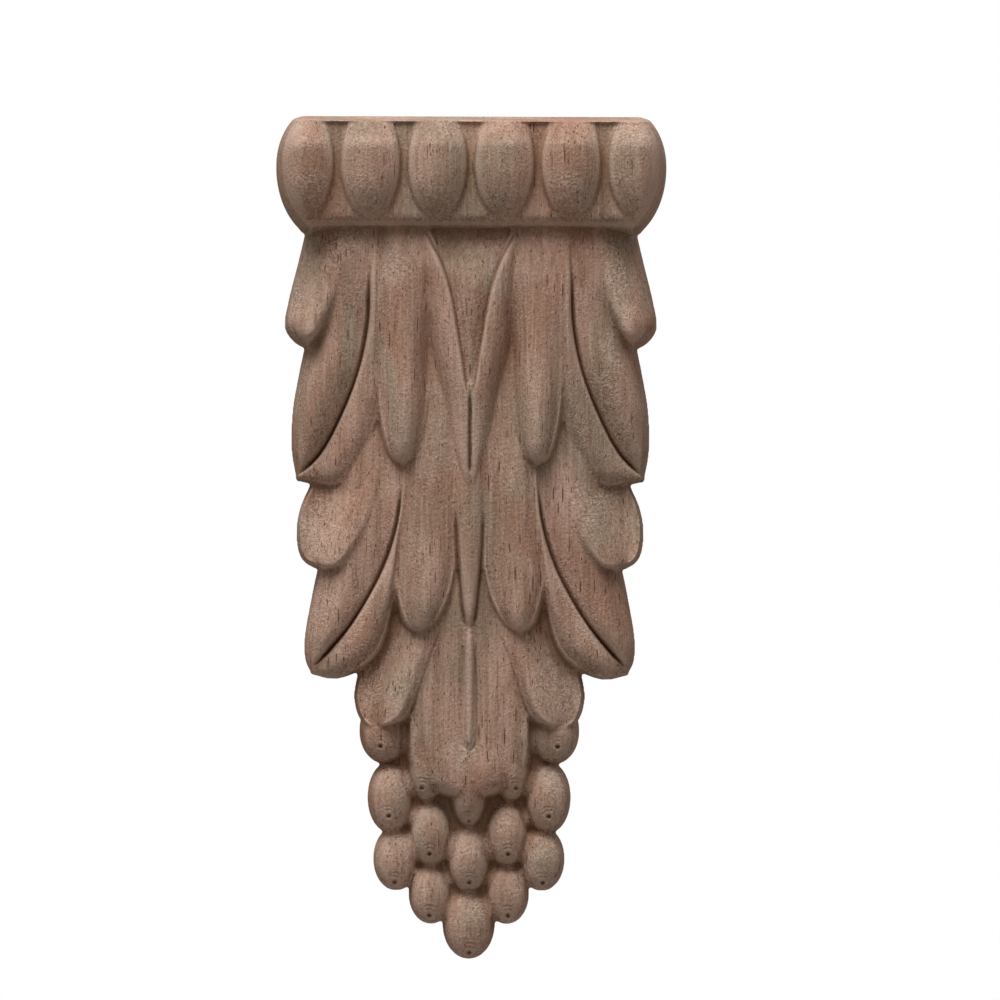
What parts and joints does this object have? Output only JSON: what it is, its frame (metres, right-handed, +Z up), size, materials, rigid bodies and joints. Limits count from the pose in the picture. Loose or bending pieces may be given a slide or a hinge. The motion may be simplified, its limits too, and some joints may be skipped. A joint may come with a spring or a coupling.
{
  "type": "wooden corbel onlay",
  "caption": "Carved wooden onlay shaped like a hanging bracket: egg-moulded head, tiers of acanthus leaves and a grape drop, flat back for fixing.",
  "frame": {"origin": "on the flat back, on the middle line, at half the height", "axes": "+Z up along the height, the carved front faces -Y, +X to the viewer's right"},
  "size_m": [0.0924, 0.025, 0.2],
  "materials": {
    "bare_wood": "unfinished, machine-carved"
  },
  "bodies": {
    "root": {"carved_onlay": "bare_wood"}
  },
  "joints": []
}
